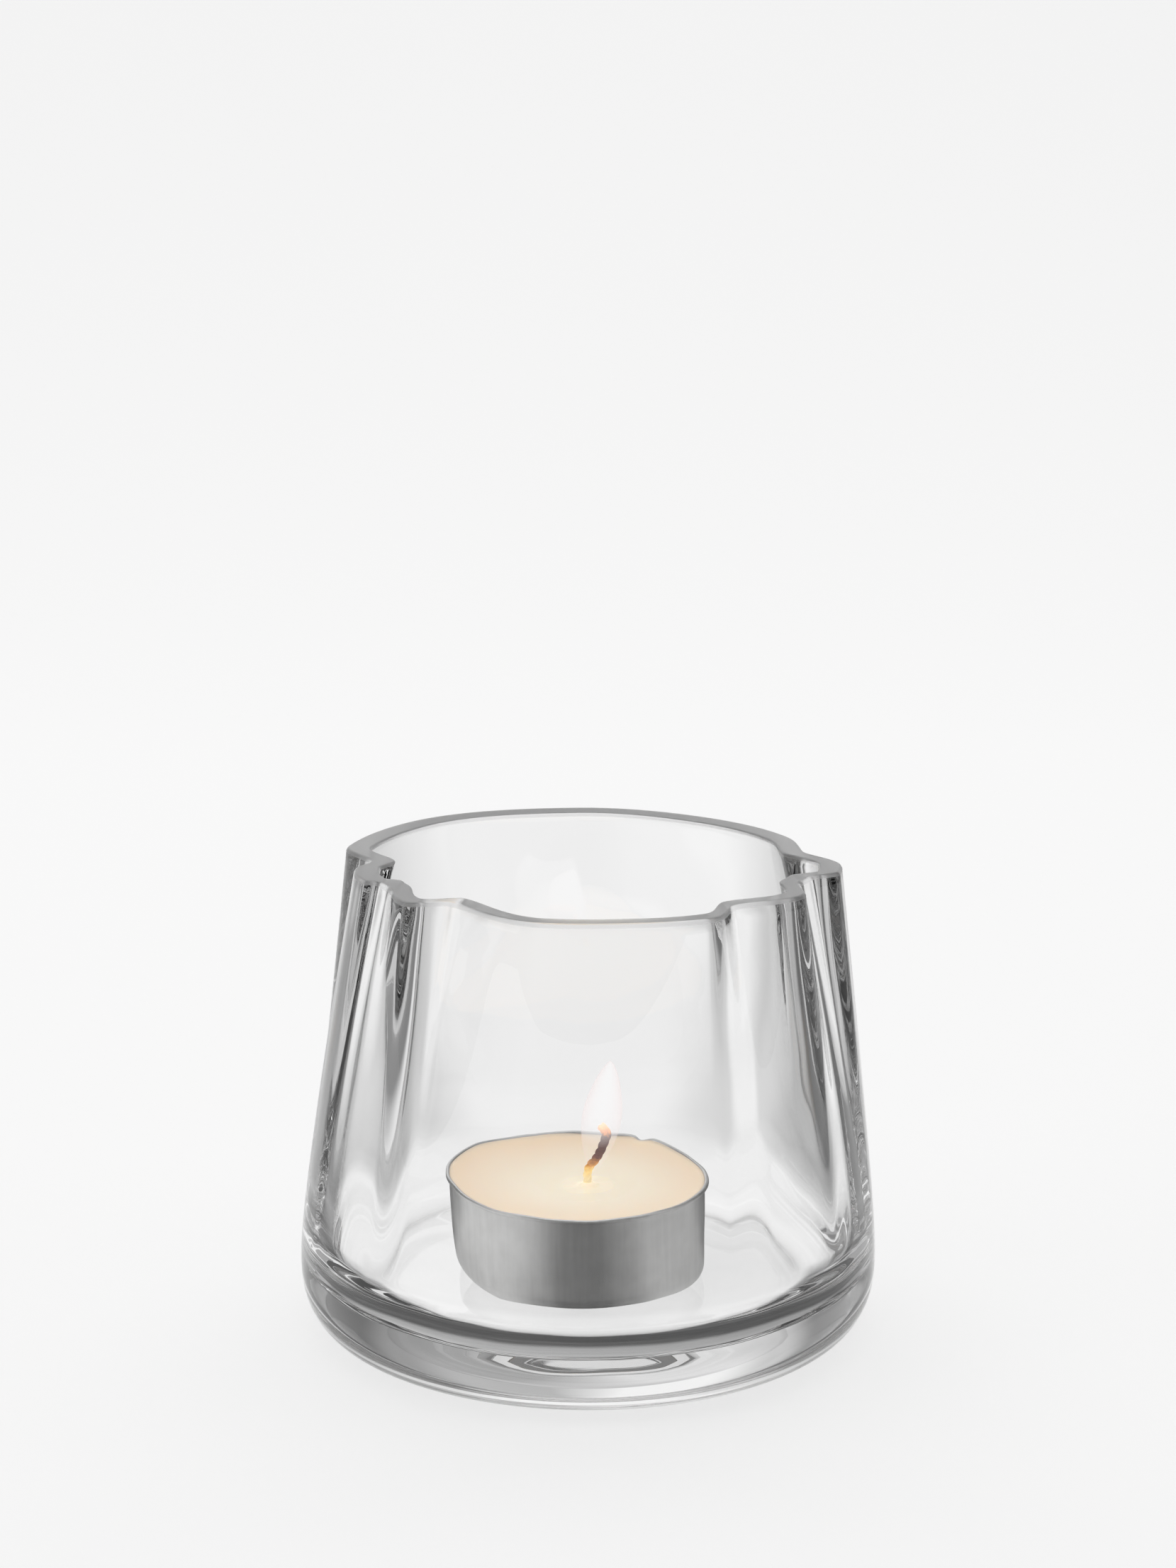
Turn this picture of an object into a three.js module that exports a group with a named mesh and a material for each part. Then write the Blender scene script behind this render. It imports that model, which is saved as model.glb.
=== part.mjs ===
// Tealight holder: a heavy-based tumbler of clear glass whose wall leans in to a
// folded, wavy rim, with a tealight standing on its floor.
// Millimetres, +Z up. The origin is the middle of the foot, on the table.

import * as THREE from 'three';

// ---------------------------------------------------------------- glass holder
const HOLDER_HEIGHT = 69.75;
const FOOT_RADIUS = 34.25;
const WIDEST_RADIUS = 42.95;
const WIDEST_HEIGHT = 10.25;
const CORNER_FULLNESS = 2.55;
const WALL_LEAN = 0.1;
const WALL_EASE = 6.0;
const RIM_MEAN_RADIUS = 34.2;
const WALL_AT_RIM = 3.5;
const WALL_AT_BASE = 4.4;
const WALL_UNEVENNESS = 0.6;
const WALL_THICK_SIDE = 110;
const FLOOR_THICKNESS = 6.5;
const FLOOR_CORNER_HEIGHT = 9.0;
const FLOOR_CORNER_REACH = 9.5;
const RIM_BEVEL = 0.5;
const INNER_BEVEL = 0.35;
const FOLD_START_HEIGHT = 10.0;
const FOLD_GROWTH = 1.4;
const INNER_FOLD_GROWTH = 2.8;
const GLASS_SEGMENTS = 120;
const CORNER_STEPS = 7;
const WALL_STEPS = 9;

// The rim swings out and in as it goes round. Each crest and hollow has its
// bearing, in degrees round from +X, and how far it stands outside the mean rim.
const FOLDS = [
  { name: 'right hollow behind', bearing: 10.5, stands_out: -1.7 },
  { name: 'right shoulder', bearing: 26, stands_out: -0.5 },
  { name: 'back right flat', bearing: 56, stands_out: -0.8 },
  { name: 'back', bearing: 94, stands_out: 0.45 },
  { name: 'back left', bearing: 138, stands_out: 2.9 },
  { name: 'left lobe', bearing: 165.5, stands_out: 2.8 },
  { name: 'left hollow', bearing: 180.5, stands_out: -2.4 },
  { name: 'left nose', bearing: 188, stands_out: -0.1 },
  { name: 'left nose middle', bearing: 195, stands_out: 0.2 },
  { name: 'left nose end', bearing: 199.5, stands_out: 0 },
  { name: 'left dip', bearing: 204, stands_out: -1.9 },
  { name: 'left dip end', bearing: 209, stands_out: -1.8 },
  { name: 'front left nose', bearing: 223, stands_out: 0.8 },
  { name: 'front left hollow', bearing: 231.5, stands_out: -3.5 },
  { name: 'front', bearing: 260, stands_out: 1.6 },
  { name: 'front flat', bearing: 275, stands_out: 1.6 },
  { name: 'front right lobe', bearing: 298, stands_out: 2.5 },
  { name: 'front right hollow', bearing: 308.8, stands_out: -1.3 },
  { name: 'right nose', bearing: 326.5, stands_out: 1.9 },
  { name: 'right hollow', bearing: 337, stands_out: -1.4 },
  { name: 'right hollow end', bearing: 343, stands_out: -1 },
  { name: 'right tip', bearing: 350, stands_out: 2.7 },
  { name: 'right tip end', bearing: 356, stands_out: 2.8 },
];

// ---------------------------------------------------------------- tealight
const TEALIGHT_X = -0.75;
const CUP_HEIGHT = 15.0;
const CUP_RADIUS = 18.75;
const CUP_DRAFT = 0.5;
const CUP_SHEET = 0.5;
const CUP_CORNER = 2.5;
const BEAD_RADIUS = 0.35;
const CUP_SEGMENTS = 48;

const WAX_GAP = 0.3;
const WAX_BELOW_RIM = 0.75;
const WAX_EDGE_RISE = 0.25;
const WAX_DISH = 0.25;

const WICK_OFFSET_X = 0.75;
const WICK_OFFSET_Y = -1.25;
const WICK_RADIUS = 0.65;
const WICK_SIDES = 8;
const WICK_STEPS = 18;
const FIT_GAP = 0.3;

const SUSTAINER_RADIUS = 6.5;
const SUSTAINER_SHEET = 0.5;
const NECK_WALL = 0.3;
const NECK_HEIGHT = 3.5;

// What follows from the sizes above.
const CUP_FOOT_RADIUS = CUP_RADIUS - CUP_DRAFT;
const WAX_TOP = CUP_HEIGHT - WAX_BELOW_RIM;

// ---------------------------------------------------------------- finishes
const clearGlass = new THREE.MeshStandardMaterial({
  name: 'clear_glass', color: 0xeef2f2, roughness: 0.04, metalness: 0,
  transparent: true, opacity: 0.35,
});
const rolledAluminium = new THREE.MeshStandardMaterial({
  name: 'rolled_aluminium', color: 0xb4b4b6, roughness: 0.38, metalness: 1,
});
const paraffinWax = new THREE.MeshStandardMaterial({
  name: 'paraffin_wax', color: 0xefdcc6, roughness: 0.45, metalness: 0,
});
const tinnedSteel = new THREE.MeshStandardMaterial({
  name: 'tinned_steel', color: 0xa8a8a4, roughness: 0.35, metalness: 1,
});
const charredCotton = new THREE.MeshStandardMaterial({
  name: 'charred_cotton', color: 0x3a2a20, roughness: 0.9, metalness: 0,
});

// ---------------------------------------------------------------- fold rule
function foldAt(bearing) {
  const turn = ((bearing % 360) + 360) % 360;
  const count = FOLDS.length;
  let from = FOLDS[count - 1];
  let to = FOLDS[0];
  for (let i = 0; i < count - 1; i++) {
    if (turn >= FOLDS[i].bearing && turn < FOLDS[i + 1].bearing) {
      from = FOLDS[i];
      to = FOLDS[i + 1];
    }
  }
  const span = (to.bearing - from.bearing + 360) % 360;
  const along = ((turn - from.bearing + 360) % 360) / span;
  const ease = THREE.MathUtils.smoothstep(along, 0, 1);
  return from.stands_out + (to.stands_out - from.stands_out) * ease;
}

// Nothing at the belly, the whole fold at the rim. The inside face loses its folds
// sooner on the way down than the outside does.
function foldStrength(z, growth) {
  const run = (z - FOLD_START_HEIGHT) / (HOLDER_HEIGHT - FOLD_START_HEIGHT);
  return Math.pow(Math.min(Math.max(run, 0), 1), growth);
}

// ---------------------------------------------------------------- wall rule
function leanIn(z) {
  const above = Math.max(z - WIDEST_HEIGHT, 0);
  return WALL_LEAN * (Math.hypot(above, WALL_EASE) - WALL_EASE);
}

function outerRadius(z) {
  const drawIn = WIDEST_RADIUS - leanIn(HOLDER_HEIGHT) - RIM_MEAN_RADIUS;
  return WIDEST_RADIUS - leanIn(z) - drawIn * foldStrength(z, FOLD_GROWTH);
}

function wallThickness(z) {
  const up = (z - FLOOR_THICKNESS) / (HOLDER_HEIGHT - FLOOR_THICKNESS);
  return WALL_AT_BASE + (WALL_AT_RIM - WALL_AT_BASE) * up;
}

// ---------------------------------------------------------------- glass holder
function glassHolder() {
  const profile = [];
  const isInside = [];
  const add = (r, z, inside) => {
    profile.push(new THREE.Vector2(r, z));
    isInside.push(inside);
  };

  add(0, 0, false);
  for (let i = 0; i <= CORNER_STEPS; i++) {
    const turn = (i / CORNER_STEPS) * Math.PI / 2;
    const out = Math.pow(Math.sin(turn), 2 / CORNER_FULLNESS);
    const up = 1 - Math.pow(Math.max(Math.cos(turn), 0), 2 / CORNER_FULLNESS);
    add(FOOT_RADIUS + (WIDEST_RADIUS - FOOT_RADIUS) * out, WIDEST_HEIGHT * up, false);
  }
  const shoulder = HOLDER_HEIGHT - RIM_BEVEL;
  for (let i = 1; i <= WALL_STEPS; i++) {
    const z = WIDEST_HEIGHT + (shoulder - WIDEST_HEIGHT) * (i / WALL_STEPS);
    add(outerRadius(z), z, false);
  }
  add(outerRadius(HOLDER_HEIGHT) - RIM_BEVEL, HOLDER_HEIGHT, false);
  add(outerRadius(HOLDER_HEIGHT) - WALL_AT_RIM + INNER_BEVEL, HOLDER_HEIGHT, true);
  const innerShoulder = HOLDER_HEIGHT - INNER_BEVEL;
  const cornerTop = FLOOR_THICKNESS + FLOOR_CORNER_HEIGHT;
  for (let i = 0; i <= WALL_STEPS; i++) {
    const z = innerShoulder + (cornerTop - innerShoulder) * (i / WALL_STEPS);
    add(outerRadius(z) - wallThickness(z), z, true);
  }
  const cornerRadius = outerRadius(cornerTop) - wallThickness(cornerTop);
  for (let i = 1; i <= CORNER_STEPS; i++) {
    const turn = (i / CORNER_STEPS) * Math.PI / 2;
    const r = cornerRadius - FLOOR_CORNER_REACH * (1 - Math.cos(turn));
    const z = cornerTop - FLOOR_CORNER_HEIGHT * Math.sin(turn);
    add(r, i === CORNER_STEPS ? FLOOR_THICKNESS : z, true);
  }
  add(0, FLOOR_THICKNESS, true);

  const geometry = new THREE.LatheGeometry(profile, GLASS_SEGMENTS);
  geometry.rotateX(Math.PI / 2);
  const spot = geometry.attributes.position;
  for (let n = 0; n < spot.count; n++) {
    const row = n % profile.length;
    const column = Math.floor(n / profile.length) % GLASS_SEGMENTS;
    const z = profile[row].y;
    const bearing = (column / GLASS_SEGMENTS) * 360;
    let r = profile[row].x;
    const growth = isInside[row] ? INNER_FOLD_GROWTH : FOLD_GROWTH;
    if (r > 0) {
      r += foldAt(bearing) * foldStrength(z, growth);
    }
    if (isInside[row]) {
      const side = Math.cos(THREE.MathUtils.degToRad(bearing - WALL_THICK_SIDE));
      r -= WALL_UNEVENNESS * side * foldStrength(z, FOLD_GROWTH);
    }
    const angle = THREE.MathUtils.degToRad(bearing);
    spot.setXYZ(n, r * Math.cos(angle), r * Math.sin(angle), z);
  }
  const mesh = new THREE.Mesh(geometry, clearGlass);
  mesh.name = 'glass_holder';
  return mesh;
}

// ---------------------------------------------------------------- lathed helper
// Turns a closed section, given as [radius, height] pairs, about the Z axis.
function turned(name, section, segments, material) {
  const points = section.map(([r, z]) => new THREE.Vector2(r, z));
  const geometry = new THREE.LatheGeometry(points, segments);
  geometry.rotateX(Math.PI / 2);
  const mesh = new THREE.Mesh(geometry, material);
  mesh.name = name;
  return mesh;
}

// ---------------------------------------------------------------- tealight cup
// A drawn cup of thin sheet: flat bottom, rounded corner, slight draft, rolled bead.
function tealightCup() {
  const section = [];
  section.push([0, 0]);
  const cornerSteps = 4;
  for (let i = 0; i <= cornerSteps; i++) {
    const turn = (i / cornerSteps) * Math.PI / 2;
    const r = CUP_FOOT_RADIUS - CUP_CORNER + CUP_CORNER * Math.sin(turn);
    section.push([r, CUP_CORNER - CUP_CORNER * Math.cos(turn)]);
  }
  const beadHeight = CUP_HEIGHT - BEAD_RADIUS;
  section.push([CUP_RADIUS, beadHeight - BEAD_RADIUS]);
  section.push([CUP_RADIUS + BEAD_RADIUS * 0.8, beadHeight - BEAD_RADIUS * 0.6]);
  section.push([CUP_RADIUS + BEAD_RADIUS, beadHeight]);
  section.push([CUP_RADIUS + BEAD_RADIUS * 0.4, CUP_HEIGHT]);
  section.push([CUP_RADIUS - CUP_SHEET, CUP_HEIGHT]);
  const inner = CUP_CORNER - CUP_SHEET;
  for (let i = cornerSteps; i >= 0; i--) {
    const turn = (i / cornerSteps) * Math.PI / 2;
    const r = CUP_FOOT_RADIUS - CUP_CORNER + inner * Math.sin(turn);
    section.push([r, i === 0 ? CUP_SHEET : CUP_CORNER - inner * Math.cos(turn)]);
  }
  section.push([0, CUP_SHEET]);
  return turned('tealight_cup', section, CUP_SEGMENTS, rolledAluminium);
}

// ---------------------------------------------------------------- wax
// Poured wax with a well for the sustainer disc, a well for its neck and the wick's
// own bore. The bores stand off the cup's axis, with the wick.
function waxPuck() {
  const bottom = CUP_SHEET;
  const rim = CUP_RADIUS - CUP_SHEET - WAX_GAP;
  const foot = CUP_FOOT_RADIUS - CUP_SHEET - WAX_GAP;
  const corner = CUP_CORNER - CUP_SHEET;
  const well = SUSTAINER_RADIUS + FIT_GAP;
  const wellTop = bottom + SUSTAINER_SHEET + FIT_GAP;
  const neck = WICK_RADIUS + FIT_GAP + NECK_WALL + FIT_GAP;
  const neckTop = bottom + SUSTAINER_SHEET + NECK_HEIGHT + FIT_GAP;
  const bore = WICK_RADIUS + FIT_GAP;
  const section = [
    [well, bottom],
    [foot - corner, bottom],
    [foot - corner * 0.3, bottom + corner * 0.3],
    [foot, bottom + corner],
    [rim, WAX_TOP + WAX_EDGE_RISE],
    [rim - 0.8, WAX_TOP],
    [rim - 6, WAX_TOP],
    [bore + 2.5, WAX_TOP - WAX_DISH],
    [bore, WAX_TOP - WAX_DISH],
    [bore, neckTop],
    [neck, neckTop],
    [neck, wellTop],
    [well, wellTop],
    [well, bottom],
  ];
  const mesh = turned('wax_puck', section, CUP_SEGMENTS, paraffinWax);
  const spot = mesh.geometry.attributes.position;
  for (let n = 0; n < spot.count; n++) {
    const r = Math.hypot(spot.getX(n), spot.getY(n));
    const onWell = r < well + 0.01 ? 1 : 0;
    spot.setX(n, spot.getX(n) + WICK_OFFSET_X * onWell);
    spot.setY(n, spot.getY(n) + WICK_OFFSET_Y * onWell);
  }
  return mesh;
}

// ---------------------------------------------------------------- sustainer
// A pressed disc with a short neck that grips the wick's foot.
function wickSustainer() {
  const inner = WICK_RADIUS + FIT_GAP;
  const outer = inner + NECK_WALL;
  const section = [
    [0, 0],
    [SUSTAINER_RADIUS, 0],
    [SUSTAINER_RADIUS, SUSTAINER_SHEET],
    [outer, SUSTAINER_SHEET],
    [outer, SUSTAINER_SHEET + NECK_HEIGHT],
    [inner, SUSTAINER_SHEET + NECK_HEIGHT],
    [inner, SUSTAINER_SHEET],
    [0, SUSTAINER_SHEET],
  ];
  const mesh = turned('wick_sustainer', section, 32, tinnedSteel);
  mesh.position.set(WICK_OFFSET_X, WICK_OFFSET_Y, CUP_SHEET);
  return mesh;
}

// ---------------------------------------------------------------- wick
// Straight through the wax, then bent over to the right, with a small hook at the tip.
function wick() {
  const foot = CUP_SHEET + SUSTAINER_SHEET;
  const top = WAX_TOP - WAX_DISH;
  const path = new THREE.CatmullRomCurve3([
    new THREE.Vector3(0, 0, foot),
    new THREE.Vector3(0, 0, foot + 6),
    new THREE.Vector3(0, 0, top),
    new THREE.Vector3(0.1, 0, top + 2.3),
    new THREE.Vector3(1.4, 0, top + 4.2),
    new THREE.Vector3(2.4, 0, top + 6.2),
    new THREE.Vector3(2.8, 0, top + 7.9),
    new THREE.Vector3(2.1, 0, top + 8.9),
  ]);
  const section = new THREE.Shape();
  for (let i = 0; i < WICK_SIDES; i++) {
    const turn = (i / WICK_SIDES) * Math.PI * 2;
    const x = WICK_RADIUS * Math.cos(turn);
    const y = WICK_RADIUS * Math.sin(turn);
    if (i === 0) {
      section.moveTo(x, y);
    } else {
      section.lineTo(x, y);
    }
  }
  section.closePath();
  const geometry = new THREE.ExtrudeGeometry(section, {
    steps: WICK_STEPS,
    bevelEnabled: false,
    extrudePath: path,
  });
  const mesh = new THREE.Mesh(geometry, charredCotton);
  mesh.name = 'wick';
  mesh.position.set(WICK_OFFSET_X, WICK_OFFSET_Y, 0);
  return mesh;
}

// ---------------------------------------------------------------- assembly
const tealight = new THREE.Group();
tealight.add(tealightCup());
tealight.add(waxPuck());
tealight.add(wickSustainer());
tealight.add(wick());
tealight.position.set(TEALIGHT_X, 0, FLOOR_THICKNESS);

const holder = new THREE.Group();
holder.add(glassHolder());
holder.add(tealight);

export default holder;
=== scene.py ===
# %% [markdown]
# # A folded glass tealight holder
# This lesson builds a heavy-based glass tumbler with a wavy rim, and the tealight that
# burns on its floor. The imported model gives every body, joint and size. Each visible
# piece is then made finely around it, and takes a finish made of nodes.

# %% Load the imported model
import math

import bmesh
import bpy
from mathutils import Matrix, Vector


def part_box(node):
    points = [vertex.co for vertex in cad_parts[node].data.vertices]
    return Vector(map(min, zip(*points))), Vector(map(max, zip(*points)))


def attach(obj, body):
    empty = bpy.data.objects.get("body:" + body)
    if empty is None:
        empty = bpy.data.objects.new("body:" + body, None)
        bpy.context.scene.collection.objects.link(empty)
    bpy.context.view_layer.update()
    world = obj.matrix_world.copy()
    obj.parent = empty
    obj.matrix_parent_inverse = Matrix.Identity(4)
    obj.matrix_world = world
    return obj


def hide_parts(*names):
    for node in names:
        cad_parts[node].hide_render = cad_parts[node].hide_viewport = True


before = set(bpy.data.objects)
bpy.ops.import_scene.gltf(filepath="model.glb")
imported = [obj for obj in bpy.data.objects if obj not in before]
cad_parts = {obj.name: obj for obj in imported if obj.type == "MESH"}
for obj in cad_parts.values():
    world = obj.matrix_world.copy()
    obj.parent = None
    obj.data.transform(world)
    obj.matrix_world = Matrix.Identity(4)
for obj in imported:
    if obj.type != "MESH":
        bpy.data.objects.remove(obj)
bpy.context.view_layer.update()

# %% [markdown]
# Every length below is a millimetre size turned to metres once, so the numbers read
# as they would on a drawing. The heights that other pieces stand on come from the
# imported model's own boxes, and nothing is fitted by eye.

# %% Sizes shared by the pieces
MM = 0.001
TURN = 2 * math.pi

cup_low, cup_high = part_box("tealight_cup")
HOLDER_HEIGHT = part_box("glass_holder")[1][2]
FLOOR_HEIGHT = cup_low[2]
CUP_X = (cup_low[0] + cup_high[0]) / 2
CUP_Y = (cup_low[1] + cup_high[1]) / 2
print("holder height mm:", round(HOLDER_HEIGHT / MM, 2))
print("glass floor mm:", round(FLOOR_HEIGHT / MM, 2), "cup axis mm:", round(CUP_X / MM, 2))


# %% [markdown]
# Materials and geometry are both made of nodes. One small function adds any node: it
# takes the node's settings, and a table of what feeds each input, either a plain value
# or another node's output. Colours are written as on a screen and turned to linear.

# %% One helper adds every node
def add_node(tree, kind, feeds=None, **settings):
    node = tree.nodes.new(kind)
    for setting, value in settings.items():
        setattr(node, setting, value)
    for key, value in (feeds or {}).items():
        if isinstance(value, bpy.types.NodeSocket):
            tree.links.new(value, node.inputs[key])
        else:
            node.inputs[key].default_value = value
    return node


def linear(hex_colour):
    """An sRGB hex colour as the linear colour that shaders take."""
    parts = [int(hex_colour[i:i + 2], 16) / 255 for i in (0, 2, 4)]
    bent = [c / 12.92 if c <= 0.04045 else ((c + 0.055) / 1.055) ** 2.4 for c in parts]
    return (*bent, 1.0)


def fill_ramp(ramp, stops):
    """Stops are (position, colour), the colour as a hex string or a grey's own value."""
    colours = [linear(c) if isinstance(c, str) else (c, c, c, 1.0) for _, c in stops]
    elements = ramp.color_ramp.elements
    for end in (0, -1):
        elements[end].position = stops[end][0]
        elements[end].color = colours[end]
    for (position, _), colour in list(zip(stops, colours))[1:-1]:
        elements.new(position).color = colour


def new_material(name):
    material = bpy.data.materials.new(name)
    material.use_nodes = True
    tree = material.node_tree
    return material, tree, tree.nodes["Principled BSDF"]


print("mid grey as linear:", [round(c, 3) for c in linear("808080")[:3]])


# %% [markdown]
# A tree of Geometry Nodes ends as a plain mesh. The tree hangs on an empty host, its
# inputs are set by their socket identifiers, and the evaluated result is copied into a
# mesh of its own. The host and its modifier are then thrown away.

# %% Turn a node tree into a plain mesh piece
def piece_from_tree(name, tree, values):
    host = bpy.data.objects.new(name + "_host", bpy.data.meshes.new(name + "_host"))
    bpy.context.scene.collection.objects.link(host)
    modifier = host.modifiers.new("shape", "NODES")
    modifier.node_group = tree
    for item in tree.interface.items_tree:
        if item.in_out == "INPUT" and item.name in values:
            modifier[item.identifier] = values[item.name]
    host.update_tag()
    depsgraph = bpy.context.evaluated_depsgraph_get()
    mesh = bpy.data.meshes.new_from_object(host.evaluated_get(depsgraph))
    mesh.name = name
    host.modifiers.clear()
    bpy.data.objects.remove(host)
    piece = bpy.data.objects.new(name, mesh)
    bpy.context.scene.collection.objects.link(piece)
    print(name, "faces:", len(mesh.polygons))
    return piece


def new_tree(name, inputs):
    tree = bpy.data.node_groups.new(name, "GeometryNodeTree")
    for label, kind in inputs:
        tree.interface.new_socket(label, in_out="INPUT", socket_type="NodeSocket" + kind)
    tree.interface.new_socket("Geometry", in_out="OUTPUT", socket_type="NodeSocketGeometry")
    given = add_node(tree, "NodeGroupInput")
    return tree, given.outputs


# %% [markdown]
# Clear glass is soda-lime glass, gathered and blown, with a fire-polished wall: it has
# no colour of its own, so what shows is what it bends and mirrors. The rim was cut
# flat, ground and polished, which leaves it a little hazy, so it reads as a grey band.
# One glass shader does both: its roughness is nothing on the wall and rises only on the
# rim's flat face, where a small share of the light also scatters instead of passing.

# %% Finish: blown clear glass with a ground rim
GROUND_DEPTH = 0.65 * MM
GROUND_ROUGHNESS = 0.35
GROUND_CLARITY = 0.86
clear_glass, tree, glass = new_material("blown_clear_glass")
glass.inputs["Base Color"].default_value = linear("FFFFFF")
glass.inputs["IOR"].default_value = 1.5
where = add_node(tree, "ShaderNodeTexCoord").outputs["Object"]
height = add_node(tree, "ShaderNodeSeparateXYZ", {0: where}).outputs["Z"]
ground = add_node(tree, "ShaderNodeMapRange", {
    "Value": height,
    "From Min": HOLDER_HEIGHT - GROUND_DEPTH, "From Max": HOLDER_HEIGHT - GROUND_DEPTH * 0.85,
    "To Min": 0.0, "To Max": GROUND_ROUGHNESS})
tree.links.new(ground.outputs[0], glass.inputs["Roughness"])
clear = add_node(tree, "ShaderNodeMapRange", {
    "Value": ground.outputs[0], "From Max": GROUND_ROUGHNESS, "To Min": 1.0,
    "To Max": GROUND_CLARITY})
tree.links.new(clear.outputs[0], glass.inputs["Transmission Weight"])
print("glass IOR:", glass.inputs["IOR"].default_value)

# %% [markdown]
# The tumbler is a turned section whose wall is pushed in and out as it goes round. It
# could be sculpted, but it follows a rule, so Geometry Nodes make it. A flat grid is
# wrapped round the axis: its rows take their radius and height from a section, and a
# chain of smooth steps adds the folds, which fade from the rim down to the belly.

# %% The tumbler's sizes
FOOT_RADIUS = 34.25 * MM
WIDEST_RADIUS = 42.95 * MM
WIDEST_HEIGHT = 10.25 * MM
CORNER_FULLNESS = 2.55
WALL_LEAN = 0.1
WALL_EASE = 6.0 * MM
RIM_MEAN_RADIUS = 34.2 * MM
WALL_AT_RIM = 3.5 * MM
WALL_AT_BASE = 4.4 * MM
FLOOR_CORNER_HEIGHT = 9.0 * MM
FLOOR_CORNER_REACH = 9.5 * MM
RIM_BEVEL = 0.5 * MM
INNER_BEVEL = 0.35 * MM
FOLD_START = 10.0 * MM
FOLD_GROWTH = 1.4
INNER_FOLD_GROWTH = 2.8
WALL_UNEVENNESS = 0.6 * MM
WALL_THICK_SIDE = math.radians(110)
RIPPLE = 0.35 * MM
RIPPLE_SIZE = 14 * MM
print("wall at the rim mm:", round(WALL_AT_RIM / MM, 2))


# %% The section, from the foot's middle round to the floor's middle
def fold_strength(z):
    run = (z - FOLD_START) / (HOLDER_HEIGHT - FOLD_START)
    return min(max(run, 0.0), 1.0) ** FOLD_GROWTH


def lean_in(z):
    above = max(z - WIDEST_HEIGHT, 0.0)
    return WALL_LEAN * (math.hypot(above, WALL_EASE) - WALL_EASE)


def outer_radius(z):
    draw_in = WIDEST_RADIUS - lean_in(HOLDER_HEIGHT) - RIM_MEAN_RADIUS
    return WIDEST_RADIUS - lean_in(z) - draw_in * fold_strength(z)


def inner_radius(z):
    up = (z - FLOOR_HEIGHT) / (HOLDER_HEIGHT - FLOOR_HEIGHT)
    return outer_radius(z) - (WALL_AT_BASE + (WALL_AT_RIM - WALL_AT_BASE) * up)


def tumbler_section():
    """Rows of (radius, inside, height)."""
    rows = [(0.0, 0, 0.0)]
    rows += [(FOOT_RADIUS * part, 0, 0.0) for part in (0.3, 0.6, 0.85, 0.97)]
    for i in range(29):
        turn = i / 28 * math.pi / 2
        out = math.sin(turn) ** (2 / CORNER_FULLNESS)
        up = 1 - max(math.cos(turn), 0.0) ** (2 / CORNER_FULLNESS)
        rows.append((FOOT_RADIUS + (WIDEST_RADIUS - FOOT_RADIUS) * out, 0, WIDEST_HEIGHT * up))
    shoulder = HOLDER_HEIGHT - RIM_BEVEL
    for i in range(1, 43):
        z = WIDEST_HEIGHT + (shoulder - WIDEST_HEIGHT) * i / 42
        rows.append((outer_radius(z), 0, z))
    outer_edge = outer_radius(HOLDER_HEIGHT) - RIM_BEVEL
    inner_edge = outer_radius(HOLDER_HEIGHT) - WALL_AT_RIM + INNER_BEVEL
    for i in range(1, 7):
        turn = i / 6 * math.pi / 2
        rows.append((outer_edge + RIM_BEVEL * math.cos(turn), 0,
                     shoulder + RIM_BEVEL * math.sin(turn)))
    rows.append((outer_edge - 0.1 * MM, 0, HOLDER_HEIGHT))
    rows.append((inner_edge + 0.1 * MM, 1, HOLDER_HEIGHT))
    inner_shoulder = HOLDER_HEIGHT - INNER_BEVEL
    for i in range(5):
        turn = i / 5 * math.pi / 2
        rows.append((inner_edge - INNER_BEVEL * math.sin(turn), 1,
                     inner_shoulder + INNER_BEVEL * math.cos(turn)))
    corner_top = FLOOR_HEIGHT + FLOOR_CORNER_HEIGHT
    for i in range(43):
        z = inner_shoulder + (corner_top - inner_shoulder) * i / 42
        rows.append((inner_radius(z), 1, z))
    corner_radius = inner_radius(corner_top)
    for i in range(1, 25):
        turn = i / 24 * math.pi / 2
        rows.append((corner_radius - FLOOR_CORNER_REACH * (1 - math.cos(turn)), 1,
                     corner_top - FLOOR_CORNER_HEIGHT * math.sin(turn)))
    rows += [((corner_radius - FLOOR_CORNER_REACH) * part, 1, FLOOR_HEIGHT)
             for part in (0.97, 0.9, 0.8, 0.65, 0.5, 0.35, 0.2, 0.1, 0.0)]
    return rows


section_rows = tumbler_section()
print("section rows:", len(section_rows))

# %% [markdown]
# The folds are crests and hollows round the rim. Each has its bearing in degrees from
# +X, and how far it stands outside the mean rim in millimetres, less than nothing for a
# hollow. The last one closes the ring on the first.

# %% The folds
FOLDS = [
    ("right_tip", -4.0, 2.8), ("right_hollow_behind", 10.5, -1.7),
    ("right_shoulder", 26.0, -0.5), ("back_right_flat", 56.0, -0.8), ("back", 94.0, 0.45),
    ("back_left", 138.0, 2.9), ("left_lobe", 165.5, 2.8), ("left_hollow", 180.5, -2.4),
    ("left_nose", 188.0, -0.1), ("left_nose_mid", 195.0, 0.2), ("left_nose_end", 199.5, 0.0),
    ("left_dip", 204.0, -1.9), ("left_dip_end", 209.0, -1.8), ("front_left_nose", 223.0, 0.8),
    ("front_left_hollow", 231.5, -3.5), ("front", 260.0, 1.6), ("front_flat", 275.0, 1.6),
    ("front_right_lobe", 298.0, 2.5), ("front_right_hollow", 308.8, -1.3),
    ("right_nose", 326.5, 1.9), ("right_hollow", 337.0, -1.4), ("right_hollow_end", 343.0, -1.0),
    ("right_tip_start", 350.0, 2.7), ("right_tip_again", 356.0, 2.8),
]
print("folds:", len(FOLDS) - 1)

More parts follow.
